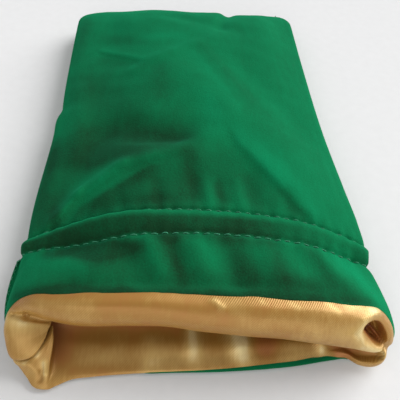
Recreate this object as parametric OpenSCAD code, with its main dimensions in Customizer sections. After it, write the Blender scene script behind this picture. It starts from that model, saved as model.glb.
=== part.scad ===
// Lined drawstring pouch for dice, lying on its back panel.
// Millimetres, +Z up. The origin is under the middle of the pouch, on the surface it rests on.
// The mouth faces -Y and the sewn bottom faces +Y.

/* [Pouch] */
// Width of the pouch as it lies
bag_w = 96; // [92:1:104]
// Length of the pouch as it lies, from the sewn bottom to the back edge of the mouth
bag_l = 152; // [148:1:160]
// Height of the top of the drawstring casing above the table
bag_h = 22; // [20:0.5:24]
// Height of the side seams above the table
seam_h = 7.5; // [7:0.1:8]
// Plan radius of the two bottom corners
corner_r = 9; // [6:0.5:12]

/* [Cloth] */
// Thickness of the velvet with its pile
velvet_t = 1.2; // [1.1:0.05:1.3]
// Thickness of the satin
satin_t = 0.5; // [0.4:0.05:0.6]
// Air between the velvet and the satin
layer_gap = 0.3; // [0.2:0.05:0.4]
// Gap where the front panel meets the back panel, which the seam thread lies in
seam_gap = 0.8; // [0.7:0.05:1]

/* [Mouth] */
// Depth of the velvet header in front of the casing
header_d = 17; // [14:0.5:18]
// How far the rolled satin lip stands in front of the header velvet
lip_d = 5.5; // [4:0.5:6]
// Height of the rolled satin lip
lip_h = 6.5; // [5:0.5:7]

/* [Drawstring] */
// Distance between the two rows of stitching of the casing
casing_w = 8.6; // [8.4:0.1:9]
// Diameter of the drawstrings
cord_d = 2; // [1.8:0.1:2.1]
// Diameter of the knot at the end of each drawstring
knot_d = 5; // [4.8:0.1:5.2]
// Length of doubled cord behind each knot that slides out
slack = 12; // [9:1:14]

/* [Sewing] */
// Distance from one stitch to the next
stitch_pitch = 2.8; // [2.4:0.1:3.4]
// Diameter of the sewing thread
thread_d = 0.5; // [0.4:0.05:0.55]

/* [Hidden] */

velvet_green = [0.05, 0.42, 0.25];
satin_gold = [0.74, 0.55, 0.28];
thread_green = [0.13, 0.5, 0.33];
cord_gold = [0.78, 0.6, 0.3];

half_w = bag_w / 2;
y_bottom = bag_l / 2;
y_mouth = -bag_l / 2;
upper_row_y = y_mouth + 38;
lower_row_y = upper_row_y - casing_w;
casing_mid_y = upper_row_y - casing_w / 2;
// The front panel ends at the hinge line, just in front of the lower row.
hinge_y = lower_row_y - 0.9;
hinge_gap = 0.3;
header_y = hinge_y - header_d;
lip_y = header_y - lip_d;
end_curve = 22;      // length over which the front panel comes down to the bottom seam
back_end_curve = 11; // length over which the back panel comes up to it
end_power = 2.4;     // roundness of both of those curves
back_corner_r = 9;   // radius of the back panel's rise to the side seams
dome_power = 2.6;    // roundness of the front panel, 2 is an ellipse and more is boxier
groove_w = 0.9;      // width of the groove that a row of stitches pulls into the velvet
groove_d = 0.7;
cord_clear = 0.35;   // air between a cord and the velvet over it
casing_drop = velvet_t + cord_d + 2 * cord_clear; // offset of the satin inside the casing

satin_out = velvet_t + layer_gap;
satin_in = satin_out + satin_t;
knot_x = half_w - 3.4;
strand_end_x = knot_x - slack;     // where the sliding strands end inside the casing
pocket_x = strand_end_x - 4.6;     // half of the lining's width between the rows of the casing
pocket_power = 5;

// Height of the front panel along its middle.
crown = [
    [lip_y, bag_h - 3.5], [header_y, bag_h - 2], [lower_row_y, bag_h - 0.8],
    [casing_mid_y, bag_h], [upper_row_y, bag_h - 0.8],
    [0, bag_h - 2.5], [30, bag_h - 3.5], [y_bottom, bag_h - 6]
];

// ---------- shape functions ----------

// Signed power, for a rounded rectangle.
function spow(v, e) = sign(v) * pow(abs(v), e);

// Half of the pouch's width at y, with round bottom corners.
function width_at(y) =
    y < y_bottom - corner_r ? half_w
    : half_w - corner_r + sqrt(max(0, corner_r * corner_r - pow(y - y_bottom + corner_r, 2)));

// How far along the bottom's curve y is, from 0 to 1.
function along_end(y, length) = max(0, (y - y_bottom + length) / length);

// Share of the height that is left at y, 0 at the bottom seam.
function end_share(y, length) = pow(max(0, 1 - pow(along_end(y, length), end_power)), 1 / end_power);

// A point of the front panel, off millimetres inside its outer face. The angle is 0 at the right seam.
function dome_point(angle, y, off) =
    let (rise = (lookup(y, crown) - seam_h - off) * end_share(y, end_curve))
    [
        (width_at(y) - off) * spow(cos(angle), 2 / dome_power),
        y - off * along_end(y, end_curve),
        seam_h + seam_gap / 2 + rise * pow(abs(sin(angle)), 2 / dome_power)
    ];

// A point of the back panel. The angle runs from 0 to 90 up the right side, and from 90 to 180 up the left;
// between the two sides the panel is flat, and across runs from 1 to -1 over it.
function bowl_point(angle, across, y, off) =
    let (
        flat = width_at(y) - back_corner_r,
        depth = (seam_h - seam_gap / 2 - off) * end_share(y, back_end_curve)
    )
    [
        across * flat + (back_corner_r - off) * cos(angle),
        y - off * along_end(y, back_end_curve),
        seam_h - seam_gap / 2 - depth * sin(angle)
    ];

// How deep the grooves of the two stitch rows are at y.
function groove_at(y) =
    let (near = min(abs(y - upper_row_y), abs(y - lower_row_y)))
    near < groove_w / 2 ? groove_d : 0;

// ---------- sheets ----------

// A closed solid between two grids of points, the outer face and the inner face of a piece of cloth.
module sheet(outer, inner) {
    rows = len(outer);
    cols = len(outer[0]);
    count = rows * cols;
    points = [for (grid = [outer, inner]) for (row = grid) each row];
    faces = [
        for (r = [rows - 2 : -1 : 0]) for (c = [cols - 2 : -1 : 0])
            let (a = r * cols + c, b = a + 1, d = a + cols, e = d + 1)
            each [[a, d, b], [b, d, e], [count + a, count + b, count + d], [count + b, count + e, count + d]],
        for (c = [0 : cols - 2])
            let (a = c, b = (rows - 1) * cols + c)
            each [
                [a, a + 1, count + a], [a + 1, count + a + 1, count + a],
                [b, count + b, b + 1], [b + 1, count + b, count + b + 1]
            ],
        for (r = [0 : rows - 2])
            let (a = r * cols, b = a + cols, c = a + cols - 1, d = c + cols)
            each [
                [a, count + a, b], [b, count + a, count + b],
                [c, d, count + c], [d, count + d, count + c]
            ]
    ];
    polyhedron(points, faces, convexity = 8);
}

dome_steps = [for (i = [0 : 18]) i / 18];

// One crosswise line of the front panel's points, from angle start to 180 - start.
function dome_line(y, off, start = 0) =
    [for (t = dome_steps) dome_point(start + (180 - 2 * start) * t, y, off)];

// One crosswise line of the back panel's points, which leaves out the first start degrees of each side.
function bowl_line(y, off, start = 0) = [
    for (t = [0 : 5]) bowl_point(start + (90 - start) * t / 5, 1, y, off),
    for (t = [2, 1, 0, -1, -2]) bowl_point(90, t / 3, y, off),
    for (t = [0 : 5]) bowl_point(90 + (90 - start) * t / 5, -1, y, off)
];

// The side slits where the drawstrings leave: the panels stop short of the side seam there.
front_slit_angle = 14;
back_slit_angle = 34;

// The velvet's stations round the two rows: [y, start angle]. The slit starts at the upper row.
function rows_of_casing(start) = [
    [upper_row_y + groove_w / 2 + 0.1, 0],
    [upper_row_y + groove_w / 2 - 0.05, 0],
    [upper_row_y - groove_w / 2 + 0.2, 0],
    [upper_row_y - groove_w / 2 + 0.05, start],
    [upper_row_y - groove_w / 2 - 0.1, start],
    [upper_row_y - casing_w * 0.3, start],
    [casing_mid_y, start],
    [lower_row_y + casing_w * 0.3, start],
    [lower_row_y + groove_w / 2 + 0.1, start],
    [lower_row_y + groove_w / 2 - 0.05, start],
    [lower_row_y - groove_w / 2 + 0.05, start],
    [lower_row_y - groove_w / 2 - 0.1, start]
];

end_stations = [
    for (t = [0, 0.03, 0.08, 0.15, 0.25, 0.4, 0.6, 0.8]) y_bottom - end_curve * t
];
body_stations = [50, 35, 20, 5, -10, -24, upper_row_y + 4];
back_end_stations = concat(
    [for (t = [0, 0.06, 0.16, 0.3, 0.5, 0.75, 1]) y_bottom - back_end_curve * t],
    [40, 0, upper_row_y + 4]
);

// ---------- velvet ----------

module front_velvet() {
    stations = concat(
        [for (y = concat(end_stations, body_stations)) [y, 0]],
        rows_of_casing(front_slit_angle),
        [[hinge_y + hinge_gap / 2, front_slit_angle]]
    );
    color(velvet_green) sheet(
        [for (s = stations) dome_line(s[0], groove_at(s[0]), s[1])],
        [for (s = stations) dome_line(s[0], velvet_t, s[1])]
    );
}

module front_header_velvet() {
    front = hinge_y - hinge_gap / 2;
    stations = [for (t = [0, 0.3, 0.65, 1]) front + (header_y - front) * t];
    color(velvet_green) sheet(
        [for (y = stations) dome_line(y, 0)],
        [for (y = stations) dome_line(y, velvet_t)]
    );
}

module back_velvet() {
    stations = concat(
        [for (y = back_end_stations) [y, 0]],
        rows_of_casing(back_slit_angle),
        [[hinge_y, back_slit_angle / 2], [hinge_y - 0.6, 0], [y_mouth + 12, 0], [y_mouth, 0]]
    );
    color(velvet_green) sheet(
        [for (s = stations) bowl_line(s[0], velvet_t, s[1])],
        [for (s = stations) bowl_line(s[0], groove_at(s[0]), s[1])]
    );
}

// ---------- satin lining ----------

// Between the rows the lining stands in from the side seams, which leaves a pocket at each end of the
// casing. There the doubled ends of the drawstrings lie, behind their knots.

// A point of the front lining between the rows. depth is 0 on its outer face.
function front_pocket_point(angle, y, depth) = [
    (pocket_x - depth) * spow(cos(angle), 2 / pocket_power),
    y,
    seam_h + seam_gap / 2
        + (lookup(y, crown) - seam_h - casing_drop - depth) * pow(abs(sin(angle)), 2 / pocket_power)
];

// A point of the back lining between the rows.
function back_pocket_point(angle, y, depth) = [
    (pocket_x - depth) * spow(cos(angle), 2 / pocket_power),
    y,
    seam_h - seam_gap / 2
        - (seam_h - seam_gap / 2 - casing_drop - depth) * pow(abs(sin(angle)), 2 / pocket_power)
];

// The lining's stations round the casing: [y of the outer face, y of the inner face, is it a pocket].
pocket_wall = 0.4;
casing_stations = [
    [upper_row_y, upper_row_y + satin_t, false],
    [upper_row_y - pocket_wall, upper_row_y - pocket_wall + satin_t, true],
    [casing_mid_y, casing_mid_y, true],
    [lower_row_y + pocket_wall, lower_row_y + pocket_wall - satin_t, true],
    [lower_row_y, lower_row_y - satin_t, false]
];

// A lining station where both faces are at the same y.
function plain(y) = [y, y, false];

function front_lining_line(y, depth, pocket) =
    pocket ? [for (t = dome_steps) front_pocket_point(180 * t, y, depth)]
    : dome_line(y, satin_out + depth);

function back_lining_line(y, depth, pocket) =
    pocket ? [for (t = [0 : 16]) back_pocket_point(180 * t / 16, y, depth)]
    : bowl_line(y, satin_out + depth);

module front_lining() {
    stations = concat(
        [for (y = concat(end_stations, body_stations)) plain(y)],
        casing_stations,
        [plain(hinge_y + hinge_gap / 2)]
    );
    color(satin_gold) sheet(
        [for (s = stations) front_lining_line(s[0], 0, s[2])],
        [for (s = stations) front_lining_line(s[1], satin_t, s[2])]
    );
}

// The lip is the satin rolled over in front of the velvet: stations [y, outer offset, inner offset].
module front_header_lining() {
    front = hinge_y - hinge_gap / 2;
    lip = header_y - seam_gap;
    stations = [
        [front, satin_out, satin_in],
        [header_y + 0.6, satin_out, satin_in],
        [lip + 0.02, satin_out, satin_in],
        [lip, 0.2, lip_h],
        [lip - lip_d * 0.35, 0.5, lip_h],
        [lip - lip_d * 0.7, 1.8, lip_h - 0.3],
        [lip - lip_d, 4, lip_h - 1.2]
    ];
    color(satin_gold) sheet(
        [for (s = stations) dome_line(s[0], s[1])],
        [for (s = stations) dome_line(s[0], s[2])]
    );
}

module back_lining() {
    stations = concat(
        [for (y = back_end_stations) plain(y)],
        casing_stations,
        [plain(hinge_y - 0.5), plain(y_mouth + 12), plain(y_mouth + 1.6)]
    );
    color(satin_gold) sheet(
        [for (s = stations) back_lining_line(s[1], satin_t, s[2])],
        [for (s = stations) back_lining_line(s[0], 0, s[2])]
    );
}

// ---------- thread ----------

// A straight thread from p to q.
module thread(p, q, d = thread_d) {
    run = q - p;
    translate(p)
        rotate([0, acos(run[2] / norm(run)), atan2(run[1], run[0])])
            cylinder(h = norm(run), d = d, $fn = 16);
}

// The velvet's side seam, from the casing to the round corner.
module side_seam(side) {
    x = side * (half_w - velvet_t / 2);
    back_end = y_bottom - corner_r - 1;
    color(thread_green) thread([x, upper_row_y + 1, seam_h], [x, back_end, seam_h]);
}

module header_seam(side) {
    x = side * (half_w - velvet_t / 2);
    color(thread_green) thread([x, hinge_y - 0.5, seam_h], [x, header_y - lip_d / 2, seam_h]);
}

module bottom_seam() {
    x = half_w - corner_r - 1;
    y = y_bottom - velvet_t / 2;
    color(thread_green) thread([-x, y, seam_h], [x, y, seam_h]);
}

lining_thread_d = thread_d * 0.8;

module lining_side_seam(side) {
    x = side * (half_w - satin_out - satin_t / 2);
    back_end = y_bottom - corner_r - 3;
    color(satin_gold) thread([x, upper_row_y + 1, seam_h], [x, back_end, seam_h], lining_thread_d);
}

module lining_bottom_seam() {
    x = half_w - corner_r - 3;
    y = y_bottom - satin_out - satin_t / 2;
    color(satin_gold) thread([-x, y, seam_h], [x, y, seam_h], lining_thread_d);
}

// ---------- threads and cords that follow a line ----------

// Distance along a line of points, at each point.
function distances(line) =
    [for (i = 0, d = 0; i < len(line);
        d = d + (i < len(line) - 1 ? norm(line[i + 1] - line[i]) : 0), i = i + 1) d];

// The point at distance d along a line.
function point_at(line, far, d) =
    [for (k = [0 : 2]) lookup(d, [for (i = [0 : len(line) - 1]) [far[i], line[i][k]]])];

// A round tube swept along a line, closed at both ends.
module tube(line, d, sides = 8) {
    last = len(line) - 1;
    function way(i) = line[min(i + 1, last)] - line[max(i - 1, 0)];
    // The line stays close to one crosswise plane, so +Y is always across it.
    function ring(i) =
        let (
            t = way(i) / norm(way(i)),
            u = cross(t, [0, 1, 0]) / norm(cross(t, [0, 1, 0])),
            v = cross(t, u)
        )
        [for (s = [0 : sides - 1]) line[i] + d / 2 * (cos(s * 360 / sides) * u + sin(s * 360 / sides) * v)];
    points = [for (i = [0 : last]) each ring(i)];
    faces = [
        [for (s = [0 : sides - 1]) s],
        [for (s = [0 : sides - 1]) last * sides + sides - 1 - s],
        for (i = [0 : last - 1]) for (s = [0 : sides - 1])
            let (n = (s + 1) % sides)
            each [
                [i * sides + s, (i + 1) * sides + s, i * sides + n],
                [i * sides + n, (i + 1) * sides + s, (i + 1) * sides + n]
            ]
    ];
    polyhedron(points, faces, convexity = 6);
}

// Seam between the velvet and the satin round the mouth.
module front_mouth_seam() {
    y = header_y - seam_gap / 2;
    line = [for (t = dome_steps) dome_point(3 + 174 * t, y, velvet_t - thread_d / 2)];
    color(thread_green) tube(line, thread_d, 6);
}

module back_mouth_seam() {
    y = y_mouth + 0.8;
    color(thread_green) tube(bowl_line(y, velvet_t + thread_d / 2 + 0.05, 4), thread_d, 6);
}

// Share of the pitch that a stitch covers; the rest is the gap to the next one.
stitch_share = 0.68;

// One row of the casing's stitches along a crosswise line.
module stitch_row(line) {
    far = distances(line);
    total = far[len(far) - 1];
    count = floor(total / stitch_pitch);
    margin = (total - count * stitch_pitch) / 2 + stitch_pitch * (1 - stitch_share) / 2;
    color(thread_green)
        for (i = [0 : count - 1]) {
            a = margin + i * stitch_pitch;
            thread(point_at(line, far, a), point_at(line, far, a + stitch_pitch * stitch_share));
        }
}

row_depth = groove_d - thread_d / 2 - 0.1;

// Angles at which the rows of stitching start: the upper rows at the side seams, the lower ones at the slits.
front_upper_start = 4;
front_lower_start = front_slit_angle + 2;
back_upper_start = 20;
back_lower_start = back_slit_angle + 4;

module front_stitches(y, start) {
    fine = [for (t = [0 : 60]) dome_point(start + (180 - 2 * start) * t / 60, y, row_depth)];
    stitch_row(fine);
}

module back_stitches(y, start) {
    line = [
        for (t = [0 : 8]) bowl_point(start + (90 - start) * t / 8, 1, y, row_depth),
        for (t = [0 : 8]) bowl_point(90 + (90 - start) * t / 8, -1, y, row_depth)
    ];
    stitch_row(line);
}

bartack_t = 0.5;
bartack_w = 1;

// Short dense stitches across the side seam at both ends of a slit. The one in front of the slit
// stands on the back panel only, so that the header can lift.
module exit_bartacks(side) {
    x = side * (half_w + 0.1 + bartack_t / 2);
    color(thread_green) {
        translate([x, upper_row_y + 1.2, seam_h])
            cube([bartack_t, bartack_w, 4], center = true);
        translate([x, hinge_y - 0.9, seam_h - 1.9])
            cube([bartack_t, bartack_w, 2.6], center = true);
    }
}

// ---------- drawstrings ----------

cord_offset = velvet_t + cord_clear + cord_d / 2;
strand_z = cord_d / 2 + 0.1;       // half of the distance between the two strands at an exit
strand_overlap = 0.3;              // how far each strand runs into its knot
knot_room = knot_d / 2 + 0.3;
left_exit_y = upper_row_y - knot_room;
right_exit_y = lower_row_y + knot_room;
ramp_x = strand_end_x - cord_d;    // where the cord climbs from the pocket to the panel
cord_room = cord_d / 2 + 0.6;
right_passing_y = upper_row_y - cord_room;  // the left cord passes the right knot here
left_passing_y = lower_row_y + cord_room;   // the right cord passes the left knot here

// The part of a drawstring that stays in the casing. It starts behind its own pull at side,
// crosses under the front panel, turns past the other pull and comes back over the back panel.
// far_y is where it passes the other pull's knot.
module casing_run(side, exit_y, far_y) {
    top_ramp = [
        [strand_end_x - 0.4, exit_y, seam_h + strand_z],
        [ramp_x + 0.5, exit_y, seam_h + strand_z + 0.6],
        [ramp_x, exit_y, seam_h + strand_z + 3]
    ];
    front = [for (angle = [50 : 10 : 170]) dome_point(angle, exit_y, cord_offset)];
    turn = [for (t = [1 : 5]) bowl_point(180 - 18 * t, -1, exit_y, cord_offset)];
    bottom_ramp = [
        [-10, exit_y, cord_offset],
        [10, exit_y, cord_offset],
        [ramp_x - 3, exit_y, cord_offset + 0.3],
        [ramp_x + 0.5, exit_y, seam_h - strand_z - 0.6],
        [strand_end_x - 0.4, exit_y, seam_h - strand_z]
    ];
    route = concat(top_ramp, front, turn, bottom_ramp);
    far = distances(route);
    total = far[len(far) - 1];
    // The run eases over from exit_y to far_y as it nears the turn.
    eased = [
        for (i = [0 : len(route) - 1])
            let (share = pow(sin(180 * far[i] / total), 2))
            [side * route[i][0], exit_y + (far_y - exit_y) * share, route[i][2]]
    ];
    color(cord_gold) tube(side > 0 ? eased : [for (i = [len(eased) - 1 : -1 : 0]) eased[i]], cord_d);
}

// Half of a knot's length along its cord, and the radius of its end where the strands go in.
knot_half = knot_d * 0.45;
knot_neck_r = strand_z + cord_d / 2 + 0.15;

// The part that slides out: two strands and the knot that ties them.
module pull(side, exit_y) {
    outline = [
        [0, -knot_half], [knot_neck_r, -knot_half],
        [knot_d / 2, -knot_half * 0.35], [knot_d / 2, knot_half * 0.35],
        [knot_neck_r * 0.7, knot_half], [0, knot_half]
    ];
    color(cord_gold) {
        translate([side * knot_x, exit_y, seam_h])
            rotate([0, side * 90, 0])
                rotate_extrude($fn = 48)
                    polygon(outline);
        for (z = [-strand_z, strand_z])
            translate([side * (strand_end_x + 0.1), exit_y, seam_h + z])
                rotate([0, side * 90, 0])
                    cylinder(h = slack - knot_half + strand_overlap, d = cord_d, $fn = 32);
    }
}

// ---------- nodes ----------

front_velvet();
front_header_velvet();
back_velvet();
front_lining();
front_header_lining();
back_lining();
side_seam(-1);  // left_side_seam
side_seam(1);  // right_side_seam
bottom_seam();
header_seam(-1);  // left_header_seam
header_seam(1);  // right_header_seam
lining_side_seam(-1);  // lining_left_seam
lining_side_seam(1);  // lining_right_seam
lining_bottom_seam();
front_mouth_seam();
back_mouth_seam();
front_stitches(upper_row_y, front_upper_start);  // front_casing_upper_stitching
front_stitches(lower_row_y, front_lower_start);  // front_casing_lower_stitching
back_stitches(upper_row_y, back_upper_start);  // back_casing_upper_stitching
back_stitches(lower_row_y, back_lower_start);  // back_casing_lower_stitching
exit_bartacks(-1);  // left_exit_bartacks
exit_bartacks(1);  // right_exit_bartacks
casing_run(-1, left_exit_y, right_passing_y);  // left_drawstring
casing_run(1, right_exit_y, left_passing_y);  // right_drawstring
pull(-1, left_exit_y);  // left_drawstring_pull
pull(1, right_exit_y);  // right_drawstring_pull
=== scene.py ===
"""Looks of a lined velvet dice pouch that lies on its back with its mouth open towards -Y.

Shapes are worked out in millimetres in the frame's own axes and become meshes in metres.
Angles round the pouch are in degrees: 0 is the right seam, 90 the middle of the front panel,
180 the left seam and 270 the middle of the back panel.
"""

import math

import bpy
import numpy as np
from mathutils import Matrix, Vector


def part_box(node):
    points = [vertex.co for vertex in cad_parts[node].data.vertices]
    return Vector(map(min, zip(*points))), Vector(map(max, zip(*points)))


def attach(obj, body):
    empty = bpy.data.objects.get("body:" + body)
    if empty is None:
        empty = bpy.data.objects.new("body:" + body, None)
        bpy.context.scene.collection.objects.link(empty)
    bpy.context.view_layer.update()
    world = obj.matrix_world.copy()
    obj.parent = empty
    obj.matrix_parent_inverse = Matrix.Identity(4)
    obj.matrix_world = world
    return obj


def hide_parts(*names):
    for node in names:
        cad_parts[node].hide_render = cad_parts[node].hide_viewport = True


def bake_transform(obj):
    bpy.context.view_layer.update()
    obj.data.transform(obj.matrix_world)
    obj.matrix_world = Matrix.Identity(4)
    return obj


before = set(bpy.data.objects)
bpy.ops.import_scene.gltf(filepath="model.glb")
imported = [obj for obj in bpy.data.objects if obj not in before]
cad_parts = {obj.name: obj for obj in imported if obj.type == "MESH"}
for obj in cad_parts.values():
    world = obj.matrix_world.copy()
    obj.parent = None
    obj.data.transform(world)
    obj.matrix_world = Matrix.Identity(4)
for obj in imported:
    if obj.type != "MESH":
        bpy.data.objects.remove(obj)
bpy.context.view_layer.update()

MM = 0.001


def node_box(node):
    """A CAD node's lowest and highest corners, in millimetres."""
    low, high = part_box(node)
    return np.array(low) / MM, np.array(high) / MM


def middle(node, axis):
    """A CAD node's middle along an axis, in millimetres."""
    low, high = node_box(node)
    return (low[axis] + high[axis]) / 2


# ---------- sizes, from the frame ----------

SEAM_Z = middle("left_side_seam", 2)
Y_BOTTOM = node_box("back_velvet")[1][1]
UPPER_Y = middle("front_casing_upper_stitching", 1)
LOWER_Y = middle("front_casing_lower_stitching", 1)
CASING_W = UPPER_Y - LOWER_Y

STITCH_PITCH = 2.8
STITCH_LENGTH = 2.2
THREAD_R = 0.17
CORD_R = 1.0
CORD_LAY = 5.2  # length of one turn of the cord's plies
CORD_ROOM = 37.0  # the cords run this far to each side inside the casing
FRONT_CORD_DEPTH, BACK_CORD_DEPTH = 2.1, 1.6  # how deep they lie under each panel's face
STRAND_START = 31.5  # the sliding strands start at this x, still inside the casing
KNOT_SIZE = 1.35
KNOT_CORD_R, KNOT_LAY = 0.85, 3.4  # the cord is drawn tighter in the knot
TWIST_STEPS = 14  # rings of points in one lay
TACK_LENGTH, TACK_REACH, TACK_BOW = 2.2, 1.5, 1.2  # a bartack along, above and below, and round the seam
TACK_THREAD_R, TACK_GAP = 0.2, 0.9  # its thread, and its distance from the casing's row
FRONT_HEM, BACK_HEM = 0.9, 0.45  # depth of the velvet's turned edge at the mouth
LINING_INSET = 2.0  # how far inside the velvet's face the satin lies
HEADER_INSET = 4.6  # the same in front of the casing
POCKET_HALF = 28.0  # half of the lining's width between the casing's rows
POCKET_TOP, POCKET_FLOOR = 2.2, 1.9  # how far the lining draws in there, above and below
HALF_W = 48.0  # half of the width that the dips and the bottom edge are given over
HEADER_LENGTH = 18.0  # from the casing's lower row to the mouth's edge
CORNER_R = 7.0
END_CURVE, BACK_END_CURVE = 22.0, 11.0  # length over which each panel comes to the bottom seam
END_POWER = 2.4  # how round those curves are
FRONT_SLIT, BACK_SLIT = 2.7, 3.0  # how far each panel stands off at the slits
SLIT_MARGIN = 0.3  # how far a slit stays from the casing's rows
TABLE_GAP = 0.02
PANEL_COLUMNS = 300
SEAM_COLUMNS, MOUTH_COLUMNS = 16, 12  # columns beside the side seams without casing or mouth stitches
LINING_SEAM_START, LINING_SEAM_END = 70.0, -36.0


# ---------- curves ----------


def smooth(t):
    """0 to 1 with a soft start and end."""
    t = np.clip(t, 0, 1)
    return t * t * (3 - 2 * t)


def window(v, low, rise, high, fall):
    """1 between low and high and 0 outside: it comes in over rise from low, and ends over fall at high."""
    return smooth((v - low) / rise) * smooth((high - v) / fall)


def spow(v, e):
    """A power that keeps the sign."""
    return np.sign(v) * np.abs(v) ** e


def unit(v):
    """Vectors with their length made 1."""
    return v / np.maximum(np.linalg.norm(v, axis=-1, keepdims=True), 1e-9)


def hermite(t, start, end, leave, arrive):
    """From start at t = 0 to end at t = 1, with the slopes leave and arrive there."""
    first = (2 * t**3 - 3 * t**2 + 1) * start + (t**3 - 2 * t**2 + t) * leave
    return first + (3 * t**2 - 2 * t**3) * end + (t**3 - t**2) * arrive


def curve(at, knots):
    """A smooth line through knots [(position, value), ...]. A value is a number or a point."""
    xs = np.array([k[0] for k in knots], float)
    vs = np.array([k[1] for k in knots], float)
    slopes = np.gradient(vs, xs, axis=0)
    at = np.clip(np.asarray(at, float), xs[0], xs[-1])
    i = np.clip(np.searchsorted(xs, at, side="right") - 1, 0, len(xs) - 2)
    h = xs[i + 1] - xs[i]
    t = (at - xs[i]) / h
    extra = (1,) * (vs.ndim - 1)
    h, t = h.reshape(h.shape + extra), t.reshape(t.shape + extra)
    return hermite(t, vs[i], vs[i + 1], h * slopes[i], h * slopes[i + 1])


def around(angles, stations):
    """A closed smooth line round the mouth through stations [(angle, point), ...]."""
    before = [(a - 360, p) for a, p in stations[-3:]]
    after = [(a + 360, p) for a, p in stations[:3]]
    return curve(np.asarray(angles) % 360, before + list(stations) + after)


def walked(line):
    """How far along a line each of its points is."""
    return np.concatenate([[0], np.cumsum(np.linalg.norm(np.diff(line, axis=0), axis=1))])


def along_line(at, far, values):
    """Points or directions of a line at the distances at, where far is what walked() gives."""
    return np.stack([np.interp(at, far, values[:, k]) for k in range(3)], axis=1)


# ---------- the pouch's outline ----------

# How far each side reaches out at each y.
RIGHT_EDGE = [
    (-64, 51.2), (-58, 51.6), (-54, 51.2), (-50, 50), (-47.5, 50), (-44, 51.1), (-36, 51.1),
    (-22, 49.7), (0, 47.6), (40, 45.9), (76, 45.2),
]
LEFT_EDGE = [
    (-64, 48.9), (-56, 48.8), (-50, 48.4), (-46.5, 47.2), (-43, 47.2), (-36, 47.6),
    (0, 47.3), (8, 47.5), (12, 46.5), (17, 46.9), (40, 48.1), (76, 49.4),
]
# How far the bottom edge lies in from its place at each x.
END_LINE = [
    (-48, -0.2), (-38, -1), (-26, -0.3), (-18, 0), (-8, 0.9), (0, 1.6), (8, 1.2), (14, 0.9),
    (18.5, 2.8), (21, 2), (28, 1.1), (34, -0.4), (40, -1.2), (46, -2),
]
END_LINE_FROM = 45.0  # the y at which it starts to show
# The front's height in the middle, at each y.
CROWN = [
    (-66, 19.8), (-50, 20.5), (-46.6, 20.3), (-42, 19.6), (-38, 18.9), (-30, 19.5), (-20, 19.6),
    (0, 18.8), (30, 18), (76, 16),
]
# The front's height over the side seams as a share of the crown's, from the left edge (-1) to the right (1).
SECTION = [
    (-1, 0), (-0.985, 0.1), (-0.92, 0.28), (-0.81, 0.42), (-0.68, 0.53), (-0.57, 0.66), (-0.45, 0.82),
    (-0.32, 0.95), (-0.15, 1), (0, 0.99), (0.15, 0.96), (0.4, 0.86), (0.6, 0.74), (0.7, 0.62),
    (0.8, 0.46), (0.9, 0.28), (0.98, 0.09), (1, 0),
]
# How far each row of stitching dips towards the mouth, at each x.
UPPER_DIP = [
    (-47, 4.7), (-42, 3.5), (-35, 2.2), (-27, 1.2), (-20, 0.5), (-10, 0), (8, 0), (15, 0.3), (20, 0.7),
    (26, 1.3), (32, 2.2), (36, 3), (41, 4.1), (45, 5.2), (50, 6.6),
]
LOWER_DIP = [
    (-47, 0.5), (-30, 0.4), (-12, 0), (15, 0), (20, 0.3), (30, 1), (35, 1.6), (39, 2.3), (44, 3), (49, 3.4),
]
DIP_ENDS = 10.0  # the dips fade out up to this y


def end_inset(y):
    """How far the round bottom corners take each side in."""
    t = np.clip((y - Y_BOTTOM + CORNER_R) / CORNER_R, 0, 1)
    return CORNER_R * (1 - np.sqrt(1 - t * t))


def half_width(c, y):
    """Half of the width at y, on the side that c, the angle's cosine, is on."""
    side = smooth(c + 0.5)
    return curve(y, RIGHT_EDGE) * side + curve(y, LEFT_EDGE) * (1 - side) - end_inset(y)


def row_dip(x, row):
    """How far a row of cloth lies towards the mouth at x. row is its y in the middle."""
    upper, lower = curve(x, UPPER_DIP), curve(x, LOWER_DIP)
    t = np.clip((UPPER_Y - row) / CASING_W, 0, 1)
    return (upper * (1 - t) + lower * t) * smooth((DIP_ENDS - row) / (DIP_ENDS - UPPER_Y))


def end_share(y, length):
    """Share of the height that is left at y, where the last length of it curves down to the bottom seam."""
    t = np.clip((y - Y_BOTTOM + length) / length, 0, 1)
    return (1 - t**END_POWER) ** (1 / END_POWER)


def outline(angle, row, inset=0.0, pocket=0.0):
    """The pouch's plain form without folds. pocket draws the lining in between the casing's rows."""
    angle = np.asarray(angle, float)
    c, s = np.cos(np.radians(angle)), np.sin(np.radians(angle))
    front = s >= 0
    u = np.where(front, c, spow(c, 0.5))
    dip = row_dip(u * HALF_W, row)
    y = row - dip - curve(u * HALF_W, END_LINE) * smooth((row - END_LINE_FROM) / (Y_BOTTOM - END_LINE_FROM))
    width = half_width(c, row - dip) - inset
    width = width + (POCKET_HALF - width) * pocket
    rise = (curve(row, CROWN) - SEAM_Z - inset - POCKET_TOP * pocket) * end_share(row, END_CURVE)
    drop = (SEAM_Z - inset - POCKET_FLOOR * pocket) * end_share(row, BACK_END_CURVE)
    z = SEAM_Z + np.where(front, rise * curve(u, SECTION), -drop * np.abs(s) ** 0.5)
    tuck = inset * np.clip((row - Y_BOTTOM + 12) / 12, 0, 1)
    return np.stack([width * u, y - tuck, z], axis=-1)


# ---------- folds of the front panel ----------

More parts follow.
